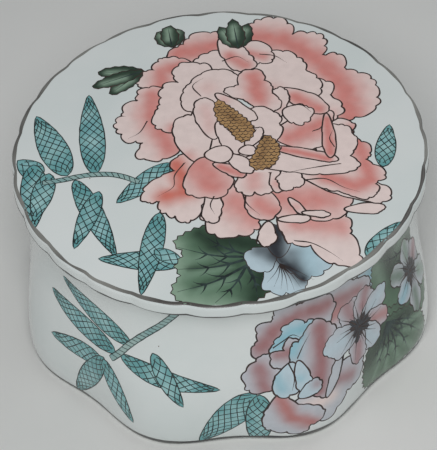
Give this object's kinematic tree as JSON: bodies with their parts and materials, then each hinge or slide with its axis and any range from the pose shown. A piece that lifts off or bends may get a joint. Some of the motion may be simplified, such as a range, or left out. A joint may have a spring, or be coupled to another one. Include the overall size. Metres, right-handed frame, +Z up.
{
  "type": "trinket box",
  "caption": "Round waisted porcelain box with a lobed foot, a round mouth and a scalloped lift-off lid on a locating flange.",
  "frame": {"origin": "centre of the foot underside, on the surface the box stands on", "axes": "+Z up along the axis of the box, -Y towards the front, where a notch of the foot is"},
  "size_m": [0.1054, 0.1054, 0.0547],
  "materials": {
    "glazed_porcelain": "clear gloss glaze over cool white porcelain",
    "biscuit": "bare unglazed porcelain, matt",
    "pink_enamel": "translucent salmon-pink wash, fired gloss",
    "teal_enamel": "flat teal wash, fired gloss",
    "green_enamel": "dark green wash, fired gloss",
    "blue_enamel": "grey-blue wash, fired gloss",
    "ochre_enamel": "ochre wash, fired gloss",
    "ink_line": "dark brown painted line, fired gloss"
  },
  "bodies": {
    "body": {"box_body": "glazed_porcelain"},
    "lid": {"lid": "glazed_porcelain"}
  },
  "joints": [
    {"name": "lid_lift", "type": "slide", "parent": "body", "child": "lid", "axis": [0, 0, 1], "range_m": [0, 0.06]}
  ]
}
